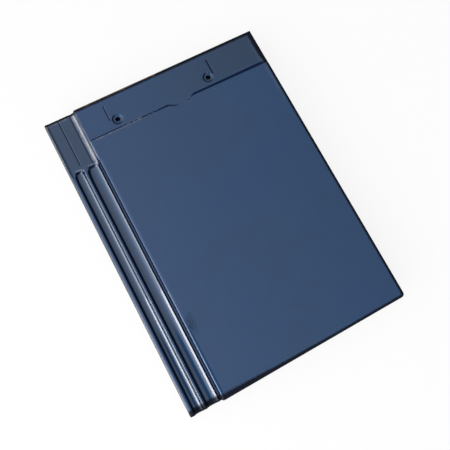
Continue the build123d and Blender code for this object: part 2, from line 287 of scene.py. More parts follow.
class TileFinish(bpy.types.PropertyGroup):
    """Glaze and clay of the tile."""

    glaze: colour("Glaze", (0.0012, 0.0410, 0.133), "Blue glaze of the weather face")
    glaze_thin: colour("Thin glaze", (0.0028, 0.0425, 0.124), "Where the glaze lies thinner")
    glaze_cloud: colour("Cloud glaze", (0.001, 0.020, 0.080), "Where the glaze is a little deeper")
    # Steep glaze: glaze run thin on steep sides, and painted shade on slopes turned away from the lights
    glaze_steep_shade: colour("Steep glaze", (0.0008, 0.0075, 0.0320), "Where the glaze has run off steep sides")
    glaze_lapped: colour("Lapped glaze", (0.0030, 0.0300, 0.0850), "Thin glaze where other tiles lap over")
    glaze_dull: colour("Dull glaze", (0.0120, 0.0330, 0.0640), "Cloudy patches where other tiles lap over")
    # Lighter blue in the breaks of the painted shade line below the step
    glaze_break: colour("Break glaze", (0.048, 0.082, 0.160), "Where the dark line of the step is broken")
    # Painted highlight: pale grey glaze in streaks
    glaze_highlight: colour("Worn glaze", (0.240, 0.235, 0.255), "Pale glaze worn in streaks")
    # Painted shade: dark, matt glaze on the rounded edges and in the nail holes
    glaze_edge_shade: colour("Edge glaze", (0.0006, 0.0028, 0.0110), "Dark, matt glaze on the rounded edges")
    clay: colour("Clay", (0.190, 0.125, 0.082), "Fired clay of the underside")
    clay_dark: colour("Dark clay", (0.105, 0.070, 0.048), "Smoked patches in the clay")
    clay_grain: colour("Clay grain", (0.28, 0.20, 0.14), "Pale grains in the clay")
    drift_range: span("Drift range", (0.35, 0.68), "Noise from full to thin glaze")
    cloud_range: span("Cloud range", (0.30, 0.75), "Noise from clear to clouded glaze")
    cloud_cover: share("Cloud cover", 0.16, "Share of the clouded glaze")
    lapped_cover: share("Lapped cover", 0.85, "Share of the lapped glaze")
    mottle_range: span("Mottle range", (0.42, 0.66), "Noise from clear to dull glaze")
    mottle_cover: share("Mottle cover", 0.5, "Share of the dull glaze")
    gap_range: span("Gap range", (0.47, 0.52), "Noise from the step's line to its breaks")
    dot_range: span("Dot range", (0.51, 0.55), "Noise from clear glaze to dark specks")
    steep_cover: share("Steep cover", 0.92, "Share of the dark glaze")
    streak_range: span("Streak range", (0.36, 0.62), "Noise from whole to worn glaze")
    highlight_cover: share("Worn cover", 0.75, "Share of the worn glaze")
    edge_ragged: share("Edge ragged", 0.35, "Unevenness of the dark edge's border")
    edge_range: span("Edge range", (0.18, 0.62), "Soft border of the dark edge")
    smoke_range: span("Smoke range", (0.35, 0.70), "Noise from plain to smoked clay")
    grain_range: span("Grain range", (0.35, 0.75), "Noise from plain clay to pale grains")
    grain_cover: share("Grain cover", 0.45, "Share of the pale grains")
    chip_ragged: share("Chip ragged", 0.9, "Unevenness of the bare clay's border")
    chip_range: span("Chip range", (0.72, 1.0), "Soft border of the bare clay")
    chip_cover: share("Chip cover", 0.75, "Share of the bare clay")
    under_ragged: share("Under ragged", 0.35, "Unevenness of the glaze's lower border")
    under_range: span("Under range", (0.42, 0.62), "Soft lower border of the glaze, of the thickness")
    matt_cover: share("Matt cover", 0.9, "Share of the gloss that dark edges and steep sides lose")
    facing_range: span("Facing range", (0.40, 0.66), "View over which the gloss is damped")
    rough_noise: span("Roughness noise", (0.2, 0.8), "Noise from the smoother to the rougher ground")
    rough_range: span("Roughness range", (0.42, 0.62), "Roughness under the gloss")
    bare_rough: share("Bare roughness", 0.25, "Further roughness where the gloss is gone")
    bare_grain: share("Bare grain", 3.0, "Height of the grain there, as a share of the peel")
    specular: share("Specular", 0.12, "Gloss of the ground")
    coat_ior: share("Coat index", 1.65, "Refractive index of the glaze")
    glaze_gloss: share("Glaze roughness", 0.07, "Roughness of the glaze")
    grazing_gloss: share("Grazing gloss", 0.10, "Share of the gloss that is left at a grazing view")
    peel_depth: length("Peel depth", 0.004, "Height of the fine unevenness of the glaze")


class TileStage(bpy.types.PropertyGroup):
    """Floor, light and camera."""

    floor_size: length("Floor size", 12000.0, "Side of the square floor")
    floor_colour: colour("Floor colour", (0.95, 0.95, 0.95), "Pale floor")
    floor_white: share("Floor white", 0.86, "Share of plain white that the camera sees on the floor")
    floor_tone: share("Floor tone", 0.985, "Share of the floor's brightness in its darker clouds")
    floor_scale: share("Floor scale", 3.0, "Clouds of the floor in a metre")
    floor_rough: share("Floor roughness", 0.9, "Roughness of the floor")
    floor_margin: length("Floor margin", 20.0, "Border under the tile where the plain white fades out")
    dome_top: share("Dome top", 0.75, "Strength of the dome overhead")
    dome_lean: share("Dome lean", 0.87, "How quickly the dome darkens towards the overlap side")
    dome_rim: share("Dome rim", 0.08, "Share of that strength at the dome's dark sides")
    dome_cap: share("Dome cap", 1.4, "Most that the lean brightens the dome")
    dome_ends: span("Dome ends", (0.70, 0.95), "Where the dome darkens towards the head and the tail")
    glow_axis: FloatVectorProperty(
        name="Glow axis", description="Middle of the soft glow at the lock strip's side",
        default=(-0.93, -0.22, 0.30), size=3, subtype="DIRECTION",
    )
    glow: share("Glow", 1.5, "Strength of the glow at its middle")
    glow_range: span("Glow range", (0.66, 1.0), "From the glow's border to its middle")
    tail_range: span("Tail range", (-0.72, -0.90), "Where the glow beyond the tail starts")
    tail_rise: span("Tail rise", (0.1, 0.4), "Where that glow starts above the horizon")
    tail_glow: share("Tail glow", 1.0, "Strength of the glow low beyond the tail")
    flag: share("Flag", 0.95, "Darkness of the flag that shades the dome near the tail")
    flag_near: span("Flag near", (-0.05, -0.14), "Border of the flag overhead")
    flag_far: span("Flag far", (-0.50, -0.40), "Border of the flag at the lock strip's side")
    flag_tail: span("Flag tail", (-0.01, -0.08), "Border of the flag on its way to the tail")
    haze_top: share("Haze top", 0.22, "Where the haze ends above the horizon")
    haze: share("Haze", 0.12, "Strength of the pale haze at the horizon")
    side_height: length("Side light height", 570.0, "Each soft light from its lower to its upper edge")
    side_width: length("Side light width", 1100.0, "Each soft light along the tile")
    side_away: length("Side light distance", 1500.0, "Soft lights from the middle of the tile")
    tail_lift: length("Tail side light lift", 350.0, "Lower edge of the light nearer the tail")
    head_lift: length("Head side light lift", 200.0, "Lower edge of the light nearer the head")
    tail_power: share("Tail side light power", 17.0, "Power of the soft light nearer the tail, in watts")
    head_power: share("Head side light power", 5.5, "Power of the soft light nearer the head, in watts")
    camera_place: FloatVectorProperty(
        name="Camera place", description="Where the camera stands",
        default=(-0.11566, -0.07440, 0.61842), size=3, subtype="TRANSLATION",
    )
    camera_aim: FloatVectorProperty(
        name="Camera aim", description="Point on the face that the camera looks at",
        default=(-0.02740, 0.00558, 0.0265), size=3, subtype="TRANSLATION",
    )
    camera_roll: angle("Camera roll", -28.293, "Turn of the picture about the line of sight")
    camera_frame: share("Camera frame", 36.0, "Width of the camera's frame in millimetres")
    camera_lens: share("Camera lens", 39.107, "Focal length in millimetres")
    camera_shift: FloatVectorProperty(
        name="Camera shift", description="Off-centre framing, as a share of the picture",
        default=(0.0527, -0.0224), size=2,
    )


def smooth_step(t):
    """Zero below 0, one above 1, and between them three t squared less two t cubed."""
    t = np.clip(t, 0.0, 1.0)
    return t * t * (3.0 - 2.0 * t)


def fade(value, start, end):
    """Smooth step of a value, from zero at the start to one at the end."""
    return smooth_step((value - start) / (end - start))


def band(value, up, down):
    """One between two places: a smooth step up over the first pair, less one over the second."""
    return fade(value, *up) - fade(value, *down)


def soft_min(a, b, k):
    """The lower of two heights, less a parabola where they differ by under k."""
    h = np.clip(k - np.abs(a - b), 0.0, None) / k
    return np.minimum(a, b) - h * h * k / 4.0


def soft_max(a, b, k):
    """The higher of two heights, rounded as soft_min rounds the lower."""
    return -soft_min(-a, -b, k)


def round_drop(inset, radius):
    """Fall of a quarter round below its flat: r less the root of r squared less (r - inset) squared."""
    t = np.clip(radius - inset, 0.0, radius)
    return radius - np.sqrt(np.maximum(radius * radius - t * t, 0.0))


def box_distance(x, y, half_x, half_y, radius):
    """Signed plan distance from a rounded box at the origin: negative inside, zero on its edge."""
    px = np.abs(x) - (half_x - radius)
    py = np.abs(y) - (half_y - radius)
    outside = np.hypot(np.maximum(px, 0.0), np.maximum(py, 0.0))
    return np.minimum(np.maximum(px, py), 0.0) + outside - radius


def places(s):
    """Levels and places worked out from the sizes."""
    p = SimpleNamespace()
    p.left, p.right = -s.width / 2, s.width / 2
    p.tail, p.head = -s.length / 2, s.length / 2
    p.face = s.height
    p.strip = p.face - s.lock_drop
    p.channel = p.strip - s.channel_depth
    p.bearing = p.channel - s.lock_base
    p.plate = p.face - s.plate_thickness
    p.joint = p.face - s.joint_depth
    p.lap = p.strip + s.lap_clearance
    p.lap_rib = p.channel + s.lap_clearance
    p.outer = p.left + s.rim_width
    p.rib = p.outer + s.outer_channel_width
    p.inner = p.rib + s.rib_width
    p.joint_left = p.inner + s.inner_channel_width
    p.joint_right = p.joint_left + s.joint_width
    p.arris = p.joint_right - s.side_bite
    p.side_foot = p.arris - s.side_run
    p.slope_foot = p.side_foot - s.slope_run
    p.channel_spans = [(p.outer, p.rib), (p.inner, p.joint_left)]
    p.channel_end = p.head - s.channel_start
    p.lap_end = p.slope_foot + s.slope_run * s.lap_clearance / s.slope_rise - s.lap_clearance
    p.cover = p.right - p.lap_end
    p.lap_x = p.left + p.cover - s.lap_clearance
    p.nose_end = p.lap_x - s.lap_step_run
    p.step = p.head - s.recess_length
    p.middle = (p.right + p.arris) / 2
    p.nail_y = p.head - s.nail_from_head
    p.nails = [s.nail_offset + side * s.nail_spacing / 2 for side in (-1, 1)]
    p.marks = [nail + side * s.mark_from_nail for nail, side in zip(p.nails, (-1, 1))]
    p.mark_y = p.head - s.mark_from_head - s.mark_length / 2
    p.nib_y = p.head - s.nib_from_head - s.nib_length / 2
    p.ribs = [p.middle + side * s.bearing_rib_spacing / 2 for side in (-1, 1)]
    wall = s.channel_depth * math.tan(s.channel_draft)
    lay_backs = (s.outer_lay_back, s.inner_lay_back)
    floors = [(low + wall, high - back) for (low, high), back in zip(p.channel_spans, lay_backs)]
    p.lap_slack = (p.lap - p.lap_rib) * math.tan(s.lap_rib_draft)
    p.lap_ribs = [((a + b) / 2 + p.cover, (b - a) / 2, (b - a) / 2 + p.lap_slack) for a, b in floors]
    p.lap_rib_tail = p.tail + s.lap_rib_from_tail
    p.lap_rib_head = p.channel_end - s.lap_end_clearance
    p.rib_end = p.head - s.bearing_rib_from_head
    p.beside = channel_section(s, p)
    p.above, p.above_start = head_section(s, p, 1.0)
    p.plain, p.plain_start = head_section(s, p, 0.0)
    return p


def recess_floor(s, p, x):
    """Level of the head recess: a plane that falls evenly from left to right."""
    fall = (s.recess_depth_right - s.recess_depth_left) / (p.right - p.arris)
    return p.face - s.recess_depth_left - fall * (x - p.arris)


def off_slant(s, p, x, down):
    """Plan distance out from the slanting side of the outlet, at a distance down from the step."""
    lean = (s.outlet_width - s.outlet_floor_width) / 2 / s.outlet_length
    return (np.abs(x - p.middle) - s.outlet_width / 2 + down * lean) / math.hypot(1.0, lean)


def off_mark(s, p, mark, x, y):
    """Signed plan distance from a setting-out mark: negative inside it."""
    half = s.mark_width / 2
    return box_distance(x - mark, y - p.mark_y, half, s.mark_length / 2, half)


def on_plate(p, x):
    """Smooth step from the foot of the slope beside the strip up to the plate."""
    return fade(x, p.slope_foot, p.joint_right)


def outline_inset(s, p, x, y):
    """Plan distance in from the outline, a rectangle with one large and three small round corners."""
    radius = np.where((x > 0.0) & (y < 0.0), s.corner_radius, s.small_corner_radius)
    return -box_distance(x, y, p.right, p.head, radius)


def rise_of(knots):
    """Rise along a section whose slope goes straight from knot to knot."""
    at, slope = np.array(knots).T
    return float(np.sum(np.diff(at) * (slope[1:] + slope[:-1]) / 2))


def section_height(x, knots, start):
    """Height along a section whose slope goes straight from knot to knot: joined parabolas."""
    at, slope = np.array(knots).T
    x = np.clip(x, at[0], at[-1])
    rise = np.concatenate([[0.0], np.cumsum(np.diff(at) * (slope[1:] + slope[:-1]) / 2)])
    piece = np.clip(np.searchsorted(at, x, side="right") - 1, 0, len(at) - 2)
    here = np.interp(x, at, slope)
    return start + rise[piece] + (x - at[piece]) * (slope[piece] + here) / 2


def solved(knots_of, target):
    """Knots with the one open slope set so that the section rises by a target."""
    flat, steep = rise_of(knots_of(0.0)), rise_of(knots_of(1.0))
    return knots_of((target - flat) / (steep - flat))


def laid_back(crest, run, rise, turn):
    """Knots of a laid-back side: a gentle start, then a slope that grows evenly up to the crest."""
    gentle, first = 1.3, 0.27
    mean = first * (gentle - turn) / 2 + (1.0 + first) * turn / 2
    slope = rise / (mean * run)
    return [(crest - gentle * run, 0.0), (crest - turn * run, first * slope), (crest, slope)]


def steep_fall(start, wall, depth):
    """Knots of a channel's steep side: down at one slope between a short and a long round end."""
    top, foot = 0.15, 0.65
    fall = -2.0 * depth / ((1.0 + foot - top) * wall)
    return [(start, 0.0), (start + top * wall, fall), (start + foot * wall, fall), (start + wall, 0.0)]


def offset(line, knots, slope=1.0):
    """Knots at millimetres from a line, with shares of a slope."""
    return [(line + at * MM, part * slope) for at, part in knots]


# Slope across the rim: shares of its width from the outer edge, and of the slope there
RIM_TURN = ((0.0, 1.0), (0.5, 0.9), (0.8, 0.4), (1.0, 0.0))
# Fine turns of the lock strip: millimetres from a line of the strip, and slopes or shares of a slope
CREASE = ((0.25, -1.0), (1.0, -1.0))
RIB_SIDE = ((1.4, 1.0), (2.6, 1.0))
RIB_TOP = ((3.1, 0.1),)
GROOVE = ((0.2, -1.0), (1.2, -1.0), (1.9, 0.0))
GROOVE_SIDE = ((-1.8, 0.0), (-1.5, 1.0), (-0.2, 1.0))
ARRIS = ((0.1, 1.0), (1.6, 0.3), (4.4, 0.0))
LIP = ((0.0, 0.60), (1.6, 0.40), (2.6, 0.0), (3.1, -0.45), (4.3, -0.45), (5.2, 0.0))
HEAD_CREASE = ((0.4, 0.0), (0.8, -0.6), (1.6, -0.6), (1.9, 0.5), (2.4, 0.5), (3.0, 0.0))
SLOPE_FOOT = ((-2.3, 0.0), (-1.6, -0.9), (-0.6, -0.9), (0.1, 0.3), (1.6, 1.0))
SLOPE_TOP = ((-1.2, 1.4), (0.0, 1.48))
PLATE_SIDE = ((0.4, 1.0), (1.5, 1.0))
PLATE_ARRIS = ((2.1, 1.0),)
PLATE_TURN = ((3.3, 0.5), (4.5, 0.0))


def channel_section(s, p):
    """Knots beside the channels: rim, two channels with a creased rib between them, joint groove, arris."""
    lean = s.rim_lean / (s.rim_width * rise_of(RIM_TURN))
    rim = [(p.left + at * s.rim_width, part * lean) for at, part in RIM_TURN[:-1]]
    outer = steep_fall(p.outer, s.channel_wall, s.channel_depth)
    outer += laid_back(p.rib, s.outer_lay_back, s.channel_depth - s.outer_crest_drop, s.outer_turn)
    inner = steep_fall(p.inner, s.channel_wall, s.channel_depth)
    inner += laid_back(p.joint_left, s.inner_lay_back, s.channel_depth, s.inner_turn)

    def rib(slope):
        crease = offset(p.rib, CREASE, s.crease_slope)
        return [outer[-1], *crease, *offset(p.rib, RIB_SIDE, slope), *offset(p.rib, RIB_TOP), (p.inner, 0.0)]

    def groove(slope):
        return [inner[-1], *offset(p.joint_left, GROOVE, slope)]

    def side(slope):
        return offset(p.joint_right, GROOVE_SIDE, slope) + offset(p.joint_right, ARRIS, s.arris_slope)

    rib_knots = solved(rib, s.outer_crest_drop)
    groove_knots = solved(groove, p.joint - p.strip)
    side_knots = solved(side, s.joint_depth)
    return [*rim, *outer, *rib_knots[1:], *inner[1:], *groove_knots[1:], *side_knots, (p.right, 0.0)]


def head_section(s, p, creased):
    """Knots above the channels: a lip, the flat with a share of its crease, the slope, the plate's side."""
    lip = offset(p.left, LIP)
    mean = s.slope_rise / s.slope_run

    def knots(slope):
        return [
            *lip,
            *offset(p.rib, HEAD_CREASE, creased),
            *offset(p.slope_foot, SLOPE_FOOT, mean),
            *offset(p.side_foot, SLOPE_TOP, mean),
            *offset(p.side_foot, PLATE_SIDE, slope),
            *offset(p.side_foot, PLATE_ARRIS, s.arris_slope),
            *offset(p.side_foot, PLATE_TURN),
            (p.right, 0.0),
        ]

    return solved(knots, s.lock_drop + rise_of(lip)), p.strip - rise_of(lip)


def channel_share(s, p, x, y):
    """How far the section has gone over to the channels: a smooth step down from their round ends."""
    spans = [(low, high, s.channel_end_radius) for low, high in p.channel_spans]
    spans.append((p.joint_left, p.joint_right, s.joint_end_radius))
    end = np.full(np.shape(x), p.channel_end)
    run = np.where(x < p.outer, s.rim_run, s.channel_end_run)
    for low, high, radius in spans:
        inside = np.minimum(x - low, high - x)
        steep_side = 1.0 - fade(x, low, (low + high) / 2)
        later = round_drop(inside, radius) + steep_side * s.channel_end_skew
        longer = steep_side * (s.channel_side_run - s.channel_end_run)
        end = end - np.where(inside > 0.0, later, 0.0)
        run = run + np.where(inside > 0.0, longer, 0.0)
    return smooth_step((end - y) / run)


def edge_rounding(s, p, x, y):
    """Radius of the face's outer edge: small at the rim, large on the plate, nearly sharp by the recess."""
    radius = s.rim_radius + (s.edge_radius - s.rim_radius) * on_plate(p, x)
    half = s.edge_blend / 2
    tailward = fade(x - p.left - (y - p.tail), -half, half) * (y < p.tail + s.tail_radius)
    radius = radius + (s.tail_radius - radius) * tailward
    rightward = fade(x - p.right + p.head - y, -half, half) * fade(y - p.step, -s.recess_blend, 0.0)
    return radius + (s.recess_radius - radius) * rightward


def weather_face(s, p, x, y):
    """Height of the glazed face.

    The section beside the channels goes over to the section above them by a smooth step, and the
    crease of the latter starts a little above the channel ends. The head recess with its outlet and
    the nail dishes are each the lower of two heights, and the marks are taken off. The outer edge
    falls away as a quarter round of the inset.
    """
    beside = section_height(x, p.beside, p.strip - s.rim_lean)
    above = section_height(x, p.plain, p.plain_start)
    creased = fade(y - p.channel_end, *s.crease_fade)
    above = above + creased * (section_height(x, p.above, p.above_start) - above)
    z = above + channel_share(s, p, x, y) * (beside - above)

    floor = recess_floor(s, p, x)
    step = floor + (p.step - y) / math.tan(s.recess_draft)
    z = soft_min(z, soft_max(floor, step, s.step_blend), s.step_blend)

    down = np.maximum(p.step - y, 0.0)
    ramp_start = recess_floor(s, p, p.middle)
    ramp = ramp_start + down * (p.face - ramp_start) / s.outlet_ramp
    side = ramp + off_slant(s, p, x, down) / math.tan(s.outlet_draft)
    outlet = np.maximum(soft_max(ramp, side, s.step_blend), floor) + np.maximum(y - p.step, 0.0)
    z = soft_min(z, outlet, s.outlet_blend)

    for nail in p.nails:
        off_nail = np.hypot(x - nail, y - p.nail_y)
        dish = s.dish_depth * (off_nail - s.dish_radius) / s.dish_wall
        dish = recess_floor(s, p, nail) + soft_max(dish, -s.dish_depth, s.dish_floor_blend)
        z = soft_min(z, dish, s.dish_blend)
    for mark in p.marks:
        z = z - s.mark_depth * fade(-off_mark(s, p, mark, x, y), 0.0, s.mark_width / 2)
    return z - round_drop(outline_inset(s, p, x, y), edge_rounding(s, p, x, y))


# Softening between the leaning sides and the tip of a block
BLOCK_ROUND = 2.0 * MM


def block_level(x, y, x_mid, y_mid, half_x, half_y, root, tip, draft):
    """Level of a block that hangs from root to tip with leaning sides: the higher of tip and side."""
    distance = np.maximum(np.abs(x - x_mid) - half_x, np.abs(y - y_mid) - half_y)
    return soft_max(root + distance / math.tan(draft), tip, BLOCK_ROUND)


def underside(s, p, x, y):
    """Height of the underside: a stepped section, and the nose, nibs and ribs each as the lower level."""
    section_x = [p.left, p.arris, p.arris + s.strip_step_run, p.nose_end, p.lap_x, p.right]
    section_z = [p.bearing, p.bearing, p.plate, p.plate, p.lap, p.lap]
    z = np.interp(x, section_x, section_z) + 0.0 * y

    past_nose = np.maximum(y - p.tail - s.nose_width, x - p.nose_end)
    z = np.minimum(z, np.clip(past_nose / s.nose_wall, 0.0, None) * p.plate)

    for nail in p.nails:
        nib = block_level(
            x, y, nail, p.nib_y, s.nib_width / 2, s.nib_length / 2, p.plate, 0.0, s.underside_draft
        )
        z = np.minimum(z, nib)
    for rib in p.ribs:
        level = block_level(
            x, y, rib, (p.rib_end + p.tail) / 2, s.bearing_rib_width / 2, (p.rib_end - p.tail) / 2,
            p.plate, p.bearing, s.underside_draft,
        )
        z = np.minimum(z, level)
    lap_mid = (p.lap_rib_head + p.lap_rib_tail) / 2
    lap_half = (p.lap_rib_head - p.lap_rib_tail) / 2
    for mid, tip, root in p.lap_ribs:
        level = block_level(
            x, y, mid, lap_mid, root, lap_half + root - tip, p.lap, p.lap_rib, s.lap_rib_draft
        )
        z = np.minimum(z, level)

    inset = outline_inset(s, p, x, y)
    radius = np.where(x > p.nose_end, s.lap_edge_radius, s.foot_radius)
    return z + round_drop(inset, radius)


# Sides of the grid's cells, and how many of them lie between a nail's middle and the squares round it
NAIL_CELL = 0.6 * MM
NAIL_CELLS = 12
HOLE_CELLS = 5
STRIP_CELL = 0.62 * MM
STEP_CELL = 0.5 * MM
MARK_CELL = 0.4 * MM
SLANT_CELL = 0.9 * MM
WIDE_CELL = 5.0 * MM
LONG_CELL = 8.0 * MM
# Lines across a quarter round, and rows of quads down a wall
RIM_LINES = 8
ROUND_LINES = 11
OUTLINE_STEPS = 6
HOLE_STEPS = 5
# Room round a place within which the grid stays fine
MARK_ROOM = 1.6 * MM
SLANT_ROOM = 1.0 * MM
STEP_ROOM = 1.5 * MM
MARK_END_ROOM = (-1.4 * MM, 0.6 * MM)
CHANNEL_END_ROOM = (-8.0 * MM, 7.0 * MM)
# A further line inside the tip of a block, and the room that two lines need to stay apart
BLOCK_TURN = 0.8 * MM
HAIR = 0.08 * MM
# How far a corner's rounding is spread along its rows, in radii
CORNER_SPREAD = 3.0
# Half sides of the two squares round a nail: the outer one that stays, the inner one that is the hole
NAIL_REACH = NAIL_CELL * NAIL_CELLS
HOLE_HALF = NAIL_CELL * HOLE_CELLS
# Guard against rounding and against division by zero
TINY = 1e-9


def run_of_lines(start, *pieces):
    """Grid lines from a start through pieces of (end, spacing), each divided evenly."""
    lines = [np.array([start])]
    for end, spacing in pieces:
        last = lines[-1][-1]
        count = max(1, round((end - last) / spacing))
        lines.append(np.linspace(last, end, count + 1)[1:])
    return np.concatenate(lines)


def edge_lines(edge, radius, inward, count):
    """Grid lines across a quarter round, at even turns of its slope: inset = r (1 - sin turn)."""
    turn = np.linspace(math.pi / 2, 0.0, count)
    return edge + inward * radius * (1.0 - np.sin(turn))


def merged(*lists):
    """All grid lines in order, without those nearer than a hair to the one before."""
    lines = np.sort(np.concatenate(lists))
    keep = np.concatenate([[True], np.diff(lines) > HAIR])
    return lines[keep]


def tile_columns(s, p):
    """Places of the grid lines across the tile, close together where the section turns."""
    strip = np.array([knot[0] for knot in p.beside[:-1] + p.above[:-1]])
    strip = merged(strip, np.arange(p.left + s.rim_radius, strip.max(), STRIP_CELL))
    outlet = s.outlet_width / 2 + SLANT_ROOM
    outlet_floor = s.outlet_floor_width / 2 - SLANT_ROOM
    top = run_of_lines(
        strip.max(),
        (p.marks[0] - MARK_ROOM, WIDE_CELL),
        (p.marks[0] + MARK_ROOM, MARK_CELL),
        (p.nails[0] - NAIL_REACH, NAIL_CELL),
        (p.nails[0] + NAIL_REACH, NAIL_CELL),
        (p.middle - outlet, WIDE_CELL),
        (p.middle - outlet_floor, SLANT_CELL),
        (p.middle + outlet_floor, WIDE_CELL),
        (p.middle + outlet, SLANT_CELL),
        (p.nails[1] - NAIL_REACH, WIDE_CELL),
        (p.nails[1] + NAIL_REACH, NAIL_CELL),
        (p.marks[1] - MARK_ROOM, NAIL_CELL),
        (p.marks[1] + MARK_ROOM, MARK_CELL),
        (p.right - s.edge_radius, WIDE_CELL),
    )
    nib_tip = s.nib_width / 2 - p.plate * math.tan(s.underside_draft)
    rib_tip = s.bearing_rib_width / 2 - (p.plate - p.bearing) * math.tan(s.underside_draft)
    below = [p.arris, p.arris + s.strip_step_run, p.nose_end, p.nose_end + s.nose_wall, p.lap_x]
    blocks = [(nail, nib_tip, s.nib_width / 2) for nail in p.nails]
    blocks += [(rib, rib_tip, s.bearing_rib_width / 2) for rib in p.ribs]
    for mid, tip, root in blocks + p.lap_ribs:
        for half in (root, tip, tip - BLOCK_TURN, (root + tip) / 2):
            below += [mid - half, mid + half]
    left = edge_lines(p.left, s.rim_radius, 1, RIM_LINES)
    right = edge_lines(p.right, s.edge_radius, -1, ROUND_LINES)
    return merged(left, strip, top, right, below)


def tile_rows(s, p):
    """Places of the grid lines up the tile, close together at channel ends, step, nails and marks."""
    mark_end = p.head - s.mark_from_head
    top = run_of_lines(
        p.tail + s.tail_radius,
        (p.channel_end + CHANNEL_END_ROOM[0], LONG_CELL),
        (p.channel_end + CHANNEL_END_ROOM[1], STRIP_CELL),
        (p.step - s.outlet_length - STEP_ROOM, LONG_CELL),
        (p.step + STEP_ROOM, STEP_CELL),
        (p.nail_y - NAIL_REACH, NAIL_CELL),
        (p.nail_y + NAIL_REACH, NAIL_CELL),
        (mark_end + MARK_END_ROOM[0], LONG_CELL),
        (mark_end + MARK_END_ROOM[1], STEP_CELL),
        (p.head - s.edge_radius, LONG_CELL),
    )
    below = [p.tail + s.nose_width, p.tail + s.nose_width + s.nose_wall]
    slack = p.plate * math.tan(s.underside_draft)
    half = s.nib_length / 2
    for reach_y in (half, half - slack, half - slack - BLOCK_TURN, half - slack / 2):
        below += [p.nib_y - reach_y, p.nib_y + reach_y]
    rib_slack = (p.plate - p.bearing) * math.tan(s.underside_draft)
    below += [p.rib_end, p.rib_end - rib_slack, p.rib_end - rib_slack - BLOCK_TURN]
    below += [p.lap_rib_tail - p.lap_slack, p.lap_rib_tail, p.lap_rib_tail + BLOCK_TURN]
    below += [p.lap_rib_head + p.lap_slack, p.lap_rib_head, p.lap_rib_head - BLOCK_TURN]
    tail = edge_lines(p.tail, s.tail_radius, 1, ROUND_LINES)
    head = edge_lines(p.head, s.edge_radius, -1, ROUND_LINES)
    return merged(tail, top, head, below)


def tile_plan(s, p, columns, rows):
    """Plan places of the grid: lines drawn in to round corners, and squares turned to rings at nails.

    Near a corner a row is shortened by the fall of a quarter round of that corner's radius. Within
    reach of a nail, a point at square distance m moves towards the circle of radius r + m - h, with h
    as half the side of the square that becomes the hole.
    """
    x, y = np.meshgrid(columns, rows, indexing="ij")
    shift = np.zeros_like(x)
    for corner_x in (p.left, p.right):
        for corner_y in (p.tail, p.head):
            large = corner_x > 0.0 > corner_y
            radius = s.corner_radius if large else s.small_corner_radius
            near = np.clip(1.0 - np.abs(x - corner_x) / (CORNER_SPREAD * radius), 0.0, 1.0)
            shift -= np.sign(corner_x) * near * round_drop(np.abs(y - corner_y), radius)
    x = x + shift

    for nail in p.nails:
        a, b = x - nail, y - p.nail_y
        m = np.maximum(np.abs(a), np.abs(b))
        t = np.clip((m - HOLE_HALF) / (NAIL_REACH - HOLE_HALF), 0.0, 1.0)
        ring = (s.nail_radius + m - HOLE_HALF) / np.maximum(np.hypot(a, b), TINY)
        pull = np.where(m < NAIL_REACH + TINY, t + (1.0 - t) * ring, 1.0)
        x, y = nail + a * pull, p.nail_y + b * pull
    return x, y


def closed_loop(i0, i1, j0, j1):
    """Grid places round a block of cells, anticlockwise from its lower left corner."""
    i = np.concatenate([
        np.arange(i0, i1), np.full(j1 - j0, i1), np.arange(i1, i0, -1), np.full(j1 - j0, i0)
    ])
    j = np.concatenate([
        np.full(i1 - i0, j0), np.arange(j0, j1), np.full(i1 - i0, j1), np.arange(j1, j0, -1)
    ])
    return i, j


def wall_faces(rings):
    """Quads between neighbouring rings of points, given from the top ring down; they face outwards."""
    upper, lower = rings[:-1], rings[1:]
    return np.stack(
        [upper, lower, np.roll(lower, -1, axis=1), np.roll(upper, -1, axis=1)], axis=-1
    ).reshape(-1, 4)


def tile_surface(s, p):
    """The closed surface of the tile: points, quads, and each point's share of the way down."""
    columns, rows = tile_columns(s, p), tile_rows(s, p)
    x, y = tile_plan(s, p, columns, rows)
    top, bottom = weather_face(s, p, x, y), underside(s, p, x, y)
    across, up = x.shape
    count = across * up
    index = np.arange(count).reshape(across, up)
    quads = np.stack([index[:-1, :-1], index[1:, :-1], index[1:, 1:], index[:-1, 1:]], axis=-1)
    solid = np.ones((across - 1, up - 1), bool)

    points = [np.stack([x, y, z], axis=-1).reshape(-1, 3) for z in (top, bottom)]
    depth = [np.zeros(count), np.ones(count)]
    total = 2 * count
    walls = []
    loops = [(0, across - 1, 0, up - 1, OUTLINE_STEPS, 1)]
    for nail in p.nails:
        i0, i1 = (int(np.abs(columns - nail - side * HOLE_HALF).argmin()) for side in (-1, 1))
        j0, j1 = (int(np.abs(rows - p.nail_y - side * HOLE_HALF).argmin()) for side in (-1, 1))
        solid[i0:i1, j0:j1] = False
        loops.append((i0, i1, j0, j1, HOLE_STEPS, -1))
    for i0, i1, j0, j1, steps, turn in loops:
        i, j = closed_loop(i0, i1, j0, j1)
        ring = index[i, j]
        share_down = np.linspace(0.0, 1.0, steps + 1)[1:-1]
        upper, lower = points[0][ring], points[1][ring]
        between = upper + share_down[:, None, None] * (lower - upper)
        inner = total + np.arange(between.shape[0] * ring.size).reshape(-1, ring.size)
        points.append(between.reshape(-1, 3))
        depth.append(np.repeat(share_down, ring.size))
        total += inner.size
        rings = np.vstack([ring, inner, ring + count])
        walls.append(wall_faces(rings)[:, ::turn])

    faces = np.concatenate([quads[solid], quads[solid][:, ::-1] + count, *walls])
    points = np.concatenate(points)
    depth = np.concatenate(depth)
    used, faces = np.unique(faces, return_inverse=True)
    return points[used], faces.reshape(-1, 4), depth[used]


# Width of the dark tail edge, painted shade, in millimetres, at shares of the tile's width
TAIL_EDGE = ((0.0, 15.0), (0.15, 14.0), (0.37, 9.5), (0.65, 7.0), (1.0, 7.0))
